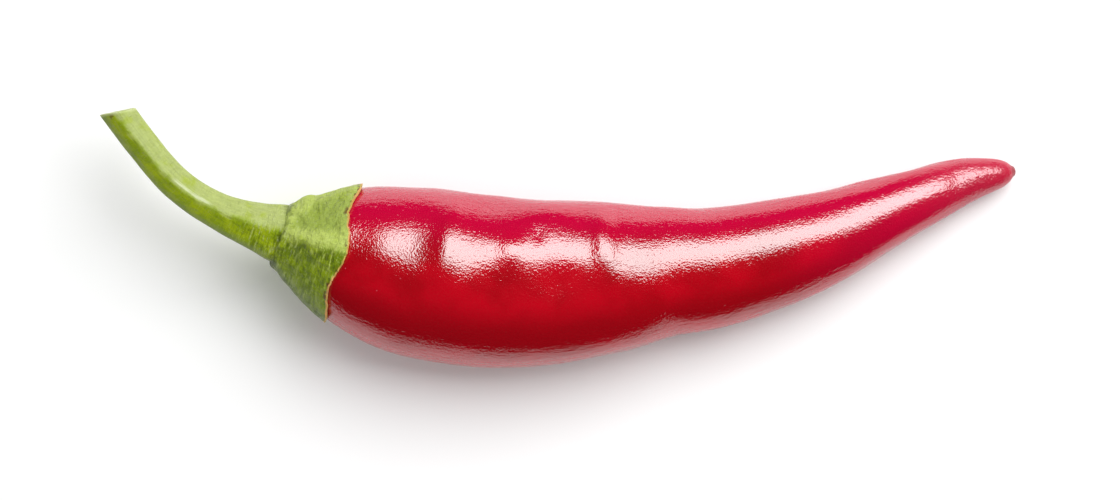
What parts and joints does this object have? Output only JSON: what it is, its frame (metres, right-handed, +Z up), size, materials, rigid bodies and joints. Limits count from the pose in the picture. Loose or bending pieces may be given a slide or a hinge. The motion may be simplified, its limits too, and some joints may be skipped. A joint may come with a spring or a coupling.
{
  "type": "chilli pepper",
  "caption": "Fresh red chilli pepper lying on its side: a bowed, tapering pod with a green toothed calyx and a bent green stem cut at a slant.",
  "frame": {"origin": "under the middle of the whole pepper, on the surface that it rests on", "axes": "+X along the pepper, from the stem's cut to the pod's tip; +Z up from the surface; +Y to the side that the stem and the tip bend to"},
  "size_m": [0.1301, 0.0369, 0.0188],
  "materials": {
    "pod_skin": "waxy, glossy fruit skin, finely wrinkled",
    "calyx_green": "ribbed, finely hairy green, satin, with a dry brown edge",
    "stem_green": "ridged green stalk, satin, with a pale dry cut end"
  },
  "bodies": {
    "root": {"pod": "pod_skin", "calyx": "calyx_green", "stem": "stem_green"}
  },
  "joints": []
}
